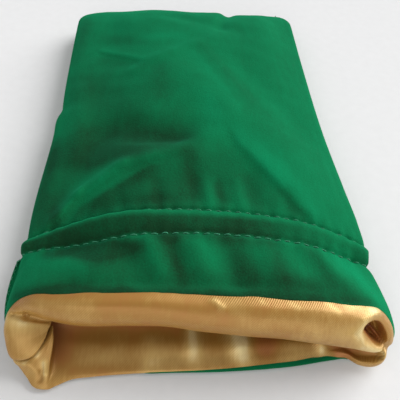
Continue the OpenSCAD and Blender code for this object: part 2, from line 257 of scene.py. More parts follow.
# Soft ridges (height over 0) and dips (under 0): start x, y, end x, y, half width, height.
# A last 1 or -1 makes the fold crisp on its right or left side, as seen from its start.
FOLDS = [
    (-39, -39, -32, -30, 2.8, 1.5, 1), (-32, -30, -20, -22, 3.2, 1.5, 1),
    (-20, -22, -4, -17, 3.6, 1.1, 1), (0, -15, 12, 0, 5, 0.9),
    (15, -13, 32, -36, 5, 0.9, 1), (-26, -3, -6, -9, 6.5, -2),
    (-17, -11, -4, -11, 5, -0.7, 1), (-14, -27, 14, -28, 7, -1.5),
    (-5, 24, 34, -22, 10, 1.6), (5, 40, 21, 8, 4, 0.2, -1),
    (-38, -28, -30, -8, 6, -0.8), (20, 30, 36, 0, 7, -0.8),
    (-35, 42, -18, 31, 2, 0.4, 1), (-32, 34, -14, 26, 4, -0.35),
    (-20, 26, 8, 46, 3, 0.6), (-8, 62, 18, 54, 4, -0.7),
    (16, 74, 12, 56, 3, -1.4), (-28, 72, -24, 50, 5, 0.6),
    (28, 70, 32, 50, 6, 0.6), (-40, 20, -36, -14, 4, 0.7),
    (-10, -28, -9, -37, 1.8, -0.5), (0, -22, 1, -37, 2.2, -0.5),
    (4, -27, 5, -37, 1.6, 0.3), (8, -29, 9, -37, 1.8, -0.4),
    (13, -27, 14, -37, 1.6, 0.4), (17, -25, 19, -37, 2.6, -0.4),
    (27, -30, 30, -38, 2.4, -0.4), (-22, -30, -20, -38, 2.2, -0.5),
]
HEADER_FOLDS = [
    (-36, -52, -24, -57, 3.5, 0.9), (-19, -49, -14, -58, 3.2, -0.9),
    (-11, -49, -7, -60, 2.2, 0.6), (-6, -49, -2, -58, 1.8, -0.5),
    (-1, -48, 4, -60, 2.6, 0.6), (8, -50, 11, -61, 3.2, -0.8),
    (18, -50, 22, -61, 3, 0.5), (27, -51, 33, -60, 3, -0.5),
    (34, -51, 40, -60, 2.5, 0.6), (-30, -61, 30, -62, 2.2, -0.7),
]
# The same on the back panel.
BACK_FOLDS = [
    (-30, 50, 10, 20, 9, -0.7), (20, 60, 34, 10, 7, -0.6),
    (-36, 10, -20, -30, 7, -0.6), (0, 0, 26, -34, 8, -0.6),
    (-12, -52, -14, -70, 4, -0.5), (14, -52, 18, -70, 4, -0.5),
]
# Where the velvet is painted darker (over 0) or lighter (under 0), in the same form as the folds: patchy
# brushed pile, painted shade in the dips of the folds and along the mouth's edge, and painted highlights on
# the ridges.
NAP_AND_SHADE = [
    (-32, -5, -8, -8, 8, 0.38), (-24, -12, -4, -12, 5, 0.3, 1),
    (-43, -13, -20, -15, 5.5, 0.3), (-45, -6, -45, -38, 3, 0.35),
    (-41, -30, -40, -38, 3, 0.3), (-39, -39, -33, -31, 1.6, -0.18, 1),
    (-33, -31, -20, -22, 1.9, -0.12, 1), (-20, -22, -5, -18, 2.2, -0.1, 1),
    (-20, -18, -6, -14, 2.2, 0.14), (-31, -35, -12, -23, 3.5, 0.3, -1),
    (-25, -35, -5, -35, 4, 0.35), (-1, -18, 1, -37, 3, 0.25),
    (-10, -28, -9, -37, 2, 0.2), (8, -29, 9, -37, 1.8, 0.3),
    (17, -27, 19, -36, 3, 0.15), (27, -31, 31, -38, 2.6, 0.25),
    (4, -26, 5, -37, 1.5, -0.08), (13, -27, 14, -37, 1.5, -0.12),
    (4, -20, 20, -34, 7, 0.16), (15, -11, 31, -34, 6, -0.32, 1),
    (2, 34, 16, 4, 4, -0.14, -1), (5, 40, 22, 9, 2.6, 0.12),
    (14, 34, 32, 0, 4, -0.08), (4, 12, 8, -8, 5, -0.2),
    (22, 12, 36, -26, 7, -0.04), (-40, 28, -22, 6, 9, 0.22),
    (-45, 66, -45, 40, 4, 0.22), (-11, 25, -11, 11, 4, 0.2),
    (-35, 42, -18, 31, 1.6, -0.14, 1), (-36, 38, -16, 27, 3.5, 0.1, -1),
    (-34, 51, -20, 43, 3, 0.15), (-18, 46, -5, 47, 3, -0.15),
    (-38, -49, -15, -50, 2.8, 0.55), (-28, -51, -20, -53, 3, 0.3),
    (-10, -46, -4, -48.5, 2.2, 0.4), (-44, -50, -28, -56, 2.4, -0.2),
    (-13, -48, -8, -58, 1.8, -0.16), (1, -47, 6, -57, 2, -0.12),
    (-6, -50, -2, -60, 2, 0.3), (9, -48, 14, -59, 3.2, 0.3),
    (21, -49, 23, -59, 2.6, 0.25), (31, -49, 35, -57, 2.6, 0.2),
    (-44, -61, -16, -63.6, 2.4, 0.5), (-16, -63.6, 30, -65, 2.4, 0.45),
    (30, -65, 46, -63.4, 2, 0.3), (40, -50, 48, -60, 4, -0.4),
    (-40, -20, -36, -34, 5, 0.2), (-14, -28, 2, -30, 6, 0.22),
    (-38, -9, -6, -16, 8, 0.16), (-38, 24, -36, -2, 6, 0.14),
    (-4, -47, 20, -48.5, 2, 0.25), (-22, -52, 2, -52, 4, 0.14),
    (-36, -58, 40, -60, 4, 0.2), (20, -61, 38, -61.5, 3, 0.16),
    (-38, -52, -16, -54, 3, 0.12), (-34, -20, -26, -16, 4, 0.22),
    (-39, -35, -38, -40, 2, 0.2), (24, 14, 30, -8, 6, 0.1),
]
# Painted shade on the casing's lower side: how much darker the velvet is made there.
CASING_SHADE = 0.42
# Height of the casing's crest at each x.
CREST = [
    (-47, 0.3), (-40, 1.2), (-35, 2.3), (-30, 3.1), (-25, 3.2), (-20, 2.8), (-15, 2.2), (-8, 1.6),
    (5, 1.3), (20, 1.2), (40, 1.2), (50, 1.0),
]


def fold_height(x, y, folds):
    """Sum of the soft ridges and dips at x, y."""
    height = np.zeros(np.broadcast(x, y).shape)
    for x0, y0, x1, y1, width, rise, *side in folds:
        dx, dy = x1 - x0, y1 - y0
        length = math.hypot(dx, dy)
        near = np.clip(((x - x0) * dx + (y - y0) * dy) / length**2, 0, 1)
        gap = np.hypot(x - x0 - near * dx, y - y0 - near * dy)
        if side:
            off = side[0] * ((x - x0) * dy - (y - y0) * dx) / length
            width = width * (1 - 0.72 * smooth(0.5 + off / (0.5 * width)))
        height += rise * bump(gap, width) * (0.7 + 0.3 * np.sin(np.pi * near))
    return height


def soft_noise(x, y, scale, seed):
    """Gentle unevenness from a few crossed waves, the same on every run."""
    rng = np.random.default_rng(seed)
    total = np.zeros(np.broadcast(x, y).shape)
    for _ in range(7):
        turn, phase = rng.uniform(0, math.pi), rng.uniform(0, 2 * math.pi)
        length = scale * rng.uniform(0.7, 1.5)
        total += np.sin(2 * math.pi * (x * math.cos(turn) + y * math.sin(turn)) / length + phase)
    return total / 7


def bump(gap, width):
    """1 where the gap is 0, fading to 0 over about this width."""
    return np.exp(-((gap / width) ** 2))


def row_gap(row):
    """Distance from the nearer row of casing stitches."""
    return np.minimum(np.abs(row - UPPER_Y), np.abs(row - LOWER_Y))


def casing_height(x, row):
    """The raised tunnel between the two rows, with its crest near the upper one, and the rows' grooves."""
    t = np.clip((UPPER_Y - row) / CASING_W, 0, 1)
    tunnel = curve(x, CREST) * np.sin(math.pi * t**0.72) ** 1.25
    pinch = 0.8 + 0.2 * np.cos(2 * math.pi * x / STITCH_PITCH)
    groove = -0.6 * bump(row_gap(row), 0.9) * pinch
    gather = 0.16 * np.sin(2 * math.pi * x / 4.6 + 1.3 * np.sin(x / 7)) * bump(row_gap(row), 3.2)
    return tunnel + groove + gather


# ---------- the mouth ----------

# Round the mouth, in order of angle: where the velvet ends, then four rows of the rolled satin:
# its shoulder, its nose, its lower edge and its underside.
MOUTH = [
    (0, (52.7, -70.2, 4.8), (51.8, -71, 5.3), (50, -71.4, 6.2), (48.8, -71.4, 6), (46.6, -67.6, 6.4)),
    (8, (52.6, -67.4, 7.2), (51.6, -69.8, 7.6), (49.6, -71.6, 7), (48, -72.6, 6.2), (46.4, -68.8, 6.8)),
    (18, (50, -64.8, 10.6), (49.2, -67.4, 11), (47.4, -71.4, 9.6), (46.6, -73.2, 7), (45.4, -70, 6.8)),
    (30, (45.4, -64.5, 14.2), (45.2, -67, 14.2), (44, -71.2, 12), (43.4, -73.4, 8), (43, -70.4, 7)),
    (45, (38.7, -65.1, 17), (39.2, -67.6, 17), (39.6, -71.6, 14), (39.6, -73.2, 9.5), (39, -70.5, 7.5)),
    (65, (25.8, -65, 19.5), (26, -67.6, 19.8), (26.4, -71.6, 16.6), (26.6, -72.4, 11.8), (26.4, -69.6, 10)),
    (78, (13.7, -64.5, 20), (13.8, -67.2, 20.4), (14.1, -71, 17.4), (14.2, -71.4, 12.6), (14.1, -68.4, 11)),
    (90, (1.8, -63.8, 20), (1.9, -66.6, 20.4), (2, -70.2, 17.8), (2, -70.4, 13.2), (2, -67.4, 11.6)),
    (102, (-10, -63.4, 20), (-9.6, -66, 20.5), (-8.8, -69.2, 18), (-8.4, -69.2, 13.8), (-8.4, -66.2, 12.2)),
    (115, (-22, -63.3, 19.5), (-22, -65.8, 19.8), (-22.2, -68.8, 17.2), (-22.4, -69, 13), (-22.4, -66, 11.8)),
    (128, (-31.8, -62.9, 18), (-31.8, -65.2, 18.2), (-30.8, -68, 15.8), (-30, -68.2, 12.2), (-30, -65, 11)),
    (140, (-39.2, -61.9, 15.8), (-38.8, -64.2, 16), (-36.6, -66.8, 13.6),
     (-34.4, -66.9, 11.2), (-35.4, -64, 10)),
    (152, (-44.6, -62.6, 12), (-43.6, -64.4, 12.4), (-39.4, -66.2, 11.2),
     (-34.7, -66.5, 10.2), (-37, -63.6, 9.6)),
    (160, (-46.6, -64.6, 9.6), (-45.8, -66.2, 10.4), (-40.4, -67.6, 10.8),
     (-34.8, -66.6, 9.8), (-38, -64, 9.2)),
    (170, (-46.8, -67.8, 7.2), (-46.3, -69.8, 8), (-41.2, -71, 9.2), (-35.6, -68.3, 9.2), (-38.6, -65.4, 8)),
    (178, (-45.4, -72.6, 5), (-44.1, -74.2, 5), (-38.9, -74, 6.4), (-36, -69.4, 8.6), (-38.6, -66.6, 7)),
    (182, (-44.8, -73, 4), (-42.6, -72.6, 3.4), (-39.4, -71.6, 4.4), (-37, -68.4, 6.4), (-39, -66.4, 5)),
    (186, (-44.9, -74, 3.4), (-42, -74.8, 4.3), (-38.4, -73, 5.4), (-35, -67.9, 8.4), (-38.4, -66, 6.2)),
    (192, (-43.4, -75.3, 2.4), (-40.8, -76, 3.8), (-37.6, -74.4, 4.9), (-34.5, -68.1, 9), (-38, -65.6, 6)),
    (199, (-41.2, -77.8, 1.4), (-38.8, -77.6, 2.6), (-36.8, -75.6, 4.1),
     (-34.5, -68.8, 8.4), (-38, -66, 4.8)),
    (205, (-38.8, -80.2, 0.8), (-36.4, -79.4, 2), (-35.2, -76, 4), (-34.6, -69.8, 6.8), (-38, -66.4, 3.6)),
    (209, (-35.6, -80.6, 0.7), (-35.1, -79.2, 1.5), (-35.3, -76, 2.4), (-36, -70.4, 3.2), (-38.4, -66, 2.6)),
    (213, (-33.8, -79.8, 0.5), (-33.8, -78.6, 1.4), (-34.4, -75.4, 1.6),
     (-35.4, -70.4, 1.8), (-37.6, -65, 2.2)),
    (220, (-30.5, -78.3, 0.5), (-30.5, -77.3, 1.1), (-30.8, -74, 1.5), (-31.2, -70, 1.9), (-32.4, -65, 2.2)),
    (232, (-25.4, -77.5, 0.5), (-25.4, -76.8, 1), (-25.4, -73.6, 1.5), (-25.4, -70, 2), (-25.4, -65, 2.1)),
    (252, (-14, -76.6, 0.4), (-14, -76.2, 1), (-14, -73.2, 1.5), (-14, -70, 2), (-14, -65, 2.1)),
    (265, (-5, -76.3, 0.4), (-5, -75.9, 1), (-5, -73, 1.5), (-5, -70, 2.2), (-5, -65, 2.2)),
    (280, (8, -76.1, 0.4), (8, -75.2, 1), (8, -72.6, 1.5), (8, -70, 2.1), (8, -65, 2.1)),
    (298, (26, -74.9, 0.5), (26, -73.3, 1.1), (26, -71.4, 1.6), (26, -69, 2.2), (26, -65, 2.1)),
    (311, (37, -73.3, 0.5), (37, -71.9, 1.2), (37, -70.6, 1.6), (37, -68.5, 2.4), (37, -65, 2.4)),
    (318, (40.8, -73, 0.6), (40.8, -72.6, 2), (40.6, -70.6, 1.9), (40.4, -68.6, 2.6), (40.2, -65, 2.8)),
    (324, (43.4, -74.6, 0.7), (43.3, -74.4, 2.4), (42.8, -72, 1.8), (42.2, -69.6, 2.6), (41.8, -66, 3)),
    (331, (46.4, -75.3, 0.8), (46.4, -75.2, 2.7), (45.4, -72.6, 1.9), (44.4, -70, 2.8), (43.6, -66.4, 3.4)),
    (339, (49, -74.9, 1.9), (48.9, -74.8, 3.6), (48.4, -72.8, 3.1), (46.8, -70.6, 3.7), (45, -67, 4)),
    (347, (50.5, -73.3, 3.1), (50.1, -73.5, 4.6), (49.2, -72.4, 4.9), (47.8, -71, 4.8), (46, -67.4, 4.8)),
    (354, (51.6, -71.2, 3.9), (50.8, -71.6, 4.8), (49.6, -71.6, 5.6), (48.4, -70.8, 5.6), (46.4, -67.5, 5.6)),
]
# The bright crease beside the rolled edge's open end, on the right.
ROLL_RIDGE = [
    (47, -64.8, 13), (44.6, -66.2, 14.6), (41.8, -69, 15.2), (40.4, -71.3, 14), (42, -72.9, 10.8),
    (45.4, -73.4, 8.6), (48.6, -73, 5.4),
]
# Creases of the satin: start, end, half width, depth.
CREASES = [
    ((-45, -65.2, 11.2), (-41.2, -66, 11.6), 0.7, 0.9),
    ((-41.2, -66, 11.6), (-35, -66.6, 10.4), 0.7, 0.8),
    ((-37, -76.6, 3.6), (-37.4, -78.6, 2.6), 0.7, 0.45),
    ((-36.2, -74, 4.6), (-36, -77, 3.4), 0.6, -0.5),
    ((5, -65.6, 20.3), (7.4, -68, 20.2), 0.6, -0.35),
]
# Painted highlights on the satin (over 0) and painted shade in a deeper, warmer tone (under 0), in the same
# form.
SHINE_AND_SHADE = [
    ((-0.4, -60, 3), (1, -75, 3), 1.7, 0.34),
    ((12.4, -60, 3), (13.7, -75, 3), 2.3, 0.42),
    ((-0.6, -63, 2.6), (0.2, -69, 2.4), 1.7, 0.15),
    ((12, -63, 2.6), (12.8, -69, 2.4), 2.2, 0.2),
    ((34.4, -69, 2), (34.6, -73.5, 2), 1, 0.4),
    ((-10, -68, 2), (-10.4, -74, 2), 3.4, 0.14),
    ((-24, -72, 2), (34, -70, 2), 5, 0.08),
    ((-30, -66, 19.6), (16, -67.4, 20), 2.6, -0.08),
    ((18, -66.6, 20), (38, -66.4, 18), 2.4, -0.05),
    ((-4, -69, 18.6), (14, -70, 18.4), 2.5, -0.06),
    ((-10, -74.5, 1.5), (36, -72, 1.5), 2.2, 0.12),
    ((41, -73.4, 8), (48, -73.4, 5), 1.6, 0.25),
    ((-19, -69, 2), (-21, -73, 2), 3, 0.12),
    ((-34.5, -62, 4), (-33, -72, 2), 3.4, -0.3),
    ((-28, -68, 2), (-16, -70, 2), 3, -0.1),
    ((-32, -60, 3), (-4, -62, 3), 5, -0.4),
    ((6.6, -62, 2), (6.6, -71, 2), 2.6, -0.18),
    ((21, -60, 2), (19.6, -71, 2), 3.4, -0.45),
    ((28, -66, 2), (33, -68, 2), 3, -0.1),
    ((38, -66, 3), (39.8, -71.8, 2), 2.6, -0.4),
    ((43, -70, 3), (47, -71, 4), 2.4, -0.3),
    ((-30, -76, 2), (30, -75, 2), 1.4, -0.12),
    ((-43, -67.5, 10.4), (-40.4, -72, 8.4), 4, 0.08),
    ((-46, -66, 10), (-42, -67, 11), 2, 0.2),
    ((-42, -67.6, 10.6), (-37, -68, 10.2), 1.8, 0.16),
    ((-41, -66, 11), (-36, -66.6, 10.8), 0.7, -0.12),
    ((-44.4, -74.4, 3.8), (-41.2, -74.8, 4.7), 0.7, 0.3),
    ((-41.2, -74.8, 4.7), (-38.4, -73.4, 5.5), 0.7, 0.3),
    ((-38.4, -73.4, 5.5), (-35, -68.4, 7.2), 0.7, 0.35),
    ((-36.4, -75, 4.4), (-36.2, -77, 3.2), 0.9, 0.5),
    ((-37.2, -77, 3.4), (-37.5, -79, 2.4), 0.8, -0.15),
    ((-41, -76, 3.4), (-38.6, -77, 3.4), 2.2, 0.04),
    ((5, -65.4, 20.3), (6.8, -67.2, 20.2), 0.7, 0.4),
    ((9, -67, 20.4), (12, -69.4, 19.4), 1.6, 0.1),
    ((16.6, -65.6, 20.4), (17, -66.4, 20.2), 0.5, 0.3),
    ((23.6, -65.8, 20), (25, -67.2, 19.6), 0.7, 0.2),
    ((32.6, -65.6, 18.6), (35, -67.4, 18.4), 0.9, 0.25),
    ((38, -65.6, 17.4), (45, -64.8, 14), 1.4, 0.25),
    ((-38, -69, 12), (-10, -70.4, 15), 2.6, -0.1),
    ((-10, -70.4, 15), (22, -72.4, 13), 2.2, -0.08),
    ((30, -71, 14.6), (38, -71.6, 14), 2.4, 0.12),
    ((-36, -64.6, 17), (-24, -66.4, 19.4), 1.8, 0.08),
]


def mouth_row(index, angles):
    """One of MOUTH's rows: 0 is the velvet's edge and 1 to 4 are the satin's."""
    return around(angles, [(s[0], s[1 + index]) for s in MOUTH])


# ---------- meshes ----------


def linked(obj):
    """Puts an object into the scene."""
    bpy.context.scene.collection.objects.link(obj)
    return obj


def new_piece(name, points, faces):
    """A smooth-shaded object from a list of points in millimetres."""
    mesh = bpy.data.meshes.new(name)
    mesh.from_pydata((points * MM).tolist(), [], faces)
    mesh.polygons.foreach_set("use_smooth", [True] * len(mesh.polygons))
    return linked(bpy.data.objects.new(name, mesh))


def point_numbers(grid, closed, first=0):
    """The numbers of a grid's points. closed repeats the first column after the last."""
    rows, cols = grid.shape[:2]
    index = first + np.arange(rows * cols).reshape(rows, cols)
    return np.hstack([index, index[:, :1]]) if closed else index


def quads(index):
    """The four-sided faces between a grid's points."""
    corners = [index[:-1, :-1], index[1:, :-1], index[1:, 1:], index[:-1, 1:]]
    return np.stack(corners, axis=-1).reshape(-1, 4).tolist()


def grid_mesh(name, points, closed=False):
    """A mesh of quads over a grid of points in millimetres. closed joins the last column to the first."""
    return new_piece(name, points.reshape(-1, 3), quads(point_numbers(points, closed)))


def grid_normals(points):
    """Unit normals of a grid, pointing out of the pouch."""
    return unit(np.cross(np.gradient(points, axis=1), np.gradient(points, axis=0)))


def panel_angles(start, count):
    """Angles over half of the pouch, closer together near the seams."""
    t = np.linspace(0, 1, count)
    return start + 180 * (t - 0.6 * np.sin(2 * math.pi * t) / (2 * math.pi))


# Each velvet row's own y in the middle: close together round the bottom and over the casing, then
# spread evenly over the header to MOUTH_ROW, the mouth's edge.
END_ROWS, END_CROWDING = 14.0, 1.6  # length of the closer rows near the bottom, and how close they are
MOUTH_ROW = LOWER_Y - HEADER_LENGTH
HEADER_ROWS = 44
BODY_ROWS = np.concatenate([
    Y_BOTTOM - END_ROWS * np.linspace(0, 1, 26) ** END_CROWDING,
    np.linspace(61, UPPER_Y + 1.6, 92),
    np.linspace(UPPER_Y + 1.2, UPPER_Y, 5),
    np.linspace(UPPER_Y, LOWER_Y, 30)[1:],
])
ROWS = np.concatenate([BODY_ROWS, np.linspace(LOWER_Y, MOUTH_ROW, HEADER_ROWS + 1)[1:]])[:, None]


def row_index(row):
    """Which of the rows is the nearest to this one."""
    return np.argmin(np.abs(ROWS[:, 0] - row))


def border_tuck(angles):
    """Where the satin covers the velvet's edge at the mouth, the velvet ends this much further in."""
    corner = window(angles, 163, 6, 224, 8)
    left_back = window(angles, 216, 8, 258, 12)
    lobe = window(angles, 318, 6, 359, 5)
    x = 1.6 * corner - 0.9 * lobe
    y = 2.6 * corner + 1.3 * left_back + 1.7 * lobe
    return np.stack([x, y, 0 * y], axis=-1)


def velvet_border(angles):
    """The velvet's edge round the mouth, slightly uneven in front."""
    front = window(angles, 20, 8, 140, 8)
    border = mouth_row(0, angles) + border_tuck(angles)
    border[:, 1] += 0.16 * soft_noise(angles, 0, 5, 14) * front
    return border


def velvet_grid(angles, front):
    """Points of one velvet panel: rows from the bottom seam to the mouth, columns over the angles."""
    body = np.stack([outline(angles, row) for row in BODY_ROWS])
    border = velvet_border(angles)
    start = body[-1]
    slope = (outline(angles, LOWER_Y) - outline(angles, LOWER_Y + 2)) / 2
    reach = np.linalg.norm(border - start, axis=-1, keepdims=True)
    leave = (mouth_row(1, angles) - mouth_row(0, angles)) if front else np.zeros_like(border) + (0, -1, 0)
    t = np.linspace(0, 1, HEADER_ROWS + 1)[1:, None, None]
    return np.concatenate([body, hermite(t, start, border, reach * slope, reach * unit(leave))])


def slit_opening(row):
    """0 to 1: how far a side slit stands open at this row."""
    t = (UPPER_Y - SLIT_MARGIN - row) / (CASING_W - 2 * SLIT_MARGIN)
    return np.where((t > 0) & (t < 1), np.sin(math.pi * np.clip(t, 0, 1)) ** 0.6, 0)


def seam_distance(points):
    """Distance of each point from the nearer side seam, measured over the panel."""
    steps = np.linalg.norm(np.diff(points, axis=1), axis=-1)
    far = np.concatenate([np.zeros((len(points), 1)), np.cumsum(steps, axis=1)], axis=1)
    return np.minimum(far, far[:, -1:] - far)


def seam_groove(seam, row):
    """The panels curl in to meet at the side seams, but not along the slits."""
    closed = 1 - np.clip(2 * slit_opening(row), 0, 1)
    return -0.75 * bump(seam, 0.8) * closed


def shape_front(points):
    """The front panel with its folds, casing and slits."""
    x, y, row = points[..., 0], points[..., 1], ROWS
    seam = seam_distance(points)
    inner = smooth(seam / 9) * smooth((Y_BOTTOM + 2 - y) / 14)
    header = window(row, MOUTH_ROW, 4, LOWER_Y, 4)
    body = smooth((row - UPPER_Y) / 4)
    height = fold_height(x, y, FOLDS) * inner * body
    height += fold_height(x, y, HEADER_FOLDS) * inner * header
    height += 0.3 * soft_noise(x, y, 26, 4) * inner * body
    height += 0.12 * soft_noise(x, y, 9, 8) * inner * smooth((row - MOUTH_ROW) / 4)
    height += casing_height(x, row) * smooth((seam - 0.5) / 6)
    height += seam_groove(seam, row)
    out = points + grid_normals(points) * height[..., None]
    out[..., 2] += FRONT_SLIT * slit_opening(row) * bump(seam, 4.5)
    return flare(out, seam, row)


def shape_back(points):
    """The back panel with its soft folds, casing rows and slits, kept off the table."""
    x, y, row = points[..., 0], points[..., 1], ROWS
    seam = seam_distance(points)
    inner = smooth(seam / 12)
    edge = smooth((row - MOUTH_ROW) / 5) * smooth((Y_BOTTOM - y) / 12)
    height = fold_height(x, y, BACK_FOLDS) * inner * edge
    height += 0.25 * (soft_noise(x, y, 24, 5) - 1) * inner * edge
    height -= 0.5 * bump(row_gap(row), 0.7) * smooth((seam - 1) / 4)
    height += seam_groove(seam, row)
    out = points + grid_normals(points) * height[..., None]
    out[..., 2] -= BACK_SLIT * slit_opening(row) * bump(seam, 3.2)
    out[..., 2] = np.maximum(out[..., 2], TABLE_GAP)
    return flare(out, seam, row)


def flare(points, seam, row):
    """The header stands out a little at the right seam, just in front of the casing."""
    t = (LOWER_Y - row) / (LOWER_Y - MOUTH_ROW)
    out = points.copy()
    swell = curve(t[:, 0], [(0, 0), (0.12, 0.7), (0.3, 0.7), (0.6, 0.3), (1, 0)])[:, None]
    out[..., 0] += np.where(points[..., 0] > 0, swell, 0) * bump(seam, 9)
    return out


def turned_edge(points, depth):
    """Adds the velvet's turned-in edge at the mouth: a few rows that roll inward and back, this deep."""
    last = points[-1]
    ahead = unit(last - points[-2])
    down = -grid_normals(points[-3:])[-1]
    turn = ((0.12, 0.14), (0.12, 0.4), (-0.1, 0.7), (-0.5, 0.9), (-1.6, 1))
    rows = [last + ahead * a + down * depth * d for a, d in turn]
    return np.concatenate([points, np.stack(rows)])


front_points = shape_front(velvet_grid(panel_angles(0, PANEL_COLUMNS), True))
back_points = shape_back(velvet_grid(panel_angles(180, PANEL_COLUMNS), False))


# ---------- the lining ----------


def lining_grid(angles):
    """Points of the satin: from under the velvet's edge over the lip and all the way in."""
    border = mouth_row(0, angles)
    rolled = [mouth_row(i, angles) for i in (1, 2, 3, 4)]
    inner = [outline(angles, row, HEADER_INSET) for row in (-59, -54)]
    top = smooth((border[:, 2] - 3) / 6)
    under = velvet_border(angles) + (0, 1.4, 0) - (rolled[0] - border) * 0.1
    under[:, 2] += 0.5 - 1.4 * top
    cage = np.stack([under, border + (rolled[0] - border) * 0.15] + rolled + inner)
    knots = [0, 0.6, 1, 2, 3, 4, 5, 6]
    at = np.concatenate([np.linspace(0, 4, 64), np.linspace(4, 6, 20)[1:]])
    lip = curve(at, list(zip(knots, cage)))
    rows = np.concatenate([
        np.linspace(-53, LOWER_Y - 0.6, 6), np.linspace(LOWER_Y - 0.2, UPPER_Y + 0.2, 24),
        np.linspace(UPPER_Y + 1, 60, 60),
        Y_BOTTOM - 2 - END_ROWS * np.linspace(1, 0, 20)[1:] ** END_CROWDING,
    ])
    drawn = [window(r, LOWER_Y, 0.8, UPPER_Y, 0.8) for r in rows]
    insets = [LINING_INSET + (HEADER_INSET - LINING_INSET) * smooth((LOWER_Y - r) / 1.5) for r in rows]
    deep = np.stack([outline(angles, r, i, p) for r, i, p in zip(rows, insets, drawn)])
    return lip, deep


lining_angles = np.concatenate([panel_angles(start, PANEL_COLUMNS)[:-1] for start in (0, 180)])
lip_points, deep_points = lining_grid(lining_angles)


def shape_deep(points):
    """Lets the satin follow the velvet's folds, so that it stays inside it."""
    x, y, z = points[..., 0], points[..., 1], points[..., 2]
    front = smooth((z - SEAM_Z) / 4)
    body = smooth((y - UPPER_Y - 1) / 4)
    folds = np.minimum(fold_height(x, y, FOLDS), 0.4) * body * smooth((Y_BOTTOM - y) / 14)
    out = points.copy()
    out[..., 2] += front * (folds - 0.2) + 0.15 * soft_noise(x, y, 11, 12)
    return out


def line_distance(points, start, end):
    """Distance of points from a straight line between two places."""
    start, end = np.array(start, float), np.array(end, float)
    step = end - start
    t = np.clip((points - start) @ step / (step @ step), 0, 1)
    return np.linalg.norm(points - start - t[..., None] * step, axis=-1)


def lines_sum(points, lines):
    """Sum over lines (start, end, half width, amount), each fading away from its line."""
    total = np.zeros(points.shape[:-1])
    for start, end, width, amount in lines:
        total += amount * bump(line_distance(points, start, end), width)
    return total


# The rolled edge's open right end: its middle, its half length and half width, and how deep it goes.
HOLE_CENTRE = np.array([46.5, -69.7, 10.5])
HOLE_LENGTH, HOLE_WIDTH, HOLE_DEPTH = 5.2, 2.4, 5


def hole_frame():
    """The open end's directions: along the almond, across it, and into the roll."""
    along = unit(np.array([6.2, -4.4, -6.6]))
    into = np.array([-0.15, 0.85, -0.5])
    into = unit(into - along * (into @ along))
    across = np.cross(along, into)
    return along, across * np.sign(across[0]), into


def hole_radius(points):
    """Distance from the open end's middle: 1 is its rim. Also the directions across and along it."""
    along, across, into = hole_frame()
    gap = points - HOLE_CENTRE
    a, b, c = gap @ along, gap @ across, gap @ into
    bent = b + 0.06 * np.minimum(a, 0) ** 2
    r = np.sqrt((a / HOLE_LENGTH) ** 2 + (bent / HOLE_WIDTH) ** 2)
    return np.where(np.abs(c) < 4.5, r, 9), a, b


def ridge_share(points):
    """1 on the crease beside the open end, fading to 0 away from it."""
    near = np.full(points.shape[:-1], 99.0)
    for start, end in zip(ROLL_RIDGE, ROLL_RIDGE[1:]):
        near = np.minimum(near, line_distance(points, start, end))
    return bump(near, 1.4)


def open_end(points):
    """The rolled edge's open right end: an almond-shaped hole with a fold inside, and a crease beside it."""
    r, a, b = hole_radius(points)
    share = smooth((1.05 - r) / 0.4)
    inner_fold = 1 - 0.5 * bump(b + 0.1, 0.5) * smooth((a + 1) / 3)
    funnel = 0.7 * smooth((1.9 - r) / 0.9)
    depth = share * inner_fold * HOLE_DEPTH + funnel - 0.8 * ridge_share(points) * (1 - share)
    return points + depth[..., None] * hole_frame()[2]


# Folds of the satin on the mouth's floor: x, half width, height.
FLOOR_FOLDS = [(0.6, 2.4, 1.0), (13, 2.4, 1.5), (34.4, 1.4, 1.5), (-11, 3.0, 0.5)]


def shape_lip(points):
    """The rolled lip and the mouth's floor with their folds, creases and the open end."""
    x, y, z = points[..., 0], points[..., 1], points[..., 2]
    rim = mouth_row(0, lining_angles)[:, 1]
    floor = smooth((4 - z) / 2) * smooth((y - rim - 0.6) / 5)
    waves = sum(height * bump(x - at, width) for at, width, height in FLOOR_FOLDS)
    out = points.copy()
    out[..., 2] += waves * floor * smooth((x + 30) / 6)
    roll = smooth((z - 9) / 3)
    normal = grid_normals(points)
    height = roll * 0.22 * soft_noise(x, z * 0.5, 13, 21) - lines_sum(points, CREASES)
    out += normal * height[..., None]
    return open_end(out)


deep_points = shape_deep(deep_points)
lining_points = np.concatenate([shape_lip(lip_points), deep_points])


# ---------- materials ----------


